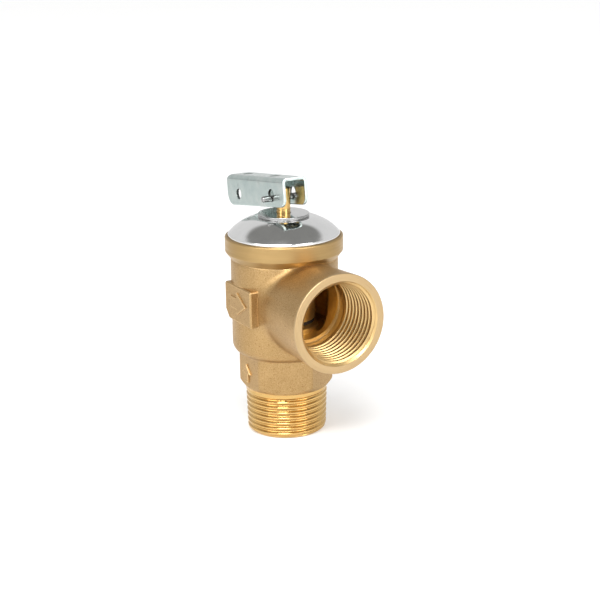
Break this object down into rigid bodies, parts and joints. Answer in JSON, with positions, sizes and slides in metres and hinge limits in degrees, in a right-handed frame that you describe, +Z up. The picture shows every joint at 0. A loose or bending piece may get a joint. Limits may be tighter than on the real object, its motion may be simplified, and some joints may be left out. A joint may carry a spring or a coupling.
{
  "type": "pressure relief valve",
  "caption": "Angle-pattern brass pressure relief valve with a threaded inlet below, a threaded side outlet, a domed steel cover and a spring-shut disc lifted by a test lever.",
  "frame": {"origin": "centre of the inlet's end face, on the stem's centre line", "axes": "+Z up along the stem, +X out of the outlet, -Y towards the side with the inlet's arrow"},
  "size_m": [0.0661, 0.0382, 0.0857],
  "materials": {
    "cast_brass": "sand-blasted casting with turned threads, rim and outlet face",
    "turned_brass": "machined",
    "polished_steel": "polished, with fine turning marks",
    "steel": "plain",
    "spring_steel": "drawn wire",
    "zinc_plate": "zinc plated, semi-gloss, bright cut edges",
    "rubber": "moulded, matt"
  },
  "bodies": {
    "housing": {"valve_body": "cast_brass", "seat_ring": "turned_brass", "diaphragm": "rubber", "clamp_ring": "steel", "main_spring": "spring_steel", "upper_spring_seat": "steel", "cover": "polished_steel", "stem_bush": "turned_brass", "stem_o_ring": "rubber", "top_washer": "polished_steel"},
    "disc_assembly": {"seat_disc": "rubber", "disc_washer": "steel", "disc_screw": "steel", "disc_holder": "turned_brass", "diaphragm_washer": "steel", "diaphragm_nut": "turned_brass", "lower_spring_seat": "steel", "stem_clip": "steel"},
    "stem": {"stem": "turned_brass", "lever_pin": "steel"},
    "lever": {"lever": "zinc_plate"}
  },
  "joints": [
    {"name": "stem_lift", "type": "slide", "parent": "housing", "child": "disc_assembly", "axis": [0, 0, 1], "range_m": [0, 0.0029], "stiffness_N_per_m": 500, "deforming": ["main_spring", "diaphragm"]},
    {"name": "lever_swivel", "type": "hinge", "parent": "disc_assembly", "child": "stem", "pos_m": [0, 0, 0.078], "axis": [0, 0, 1], "continuous": true},
    {"name": "lever_lift", "type": "hinge", "parent": "stem", "child": "lever", "pos_m": [0, 0, 0.078], "axis": [0, 1, 0], "range_deg": [0, 75]}
  ],
  "couplings": [
    {"joint": "lever_lift", "follows": "stem_lift", "rad_per_m": 451.3}
  ]
}
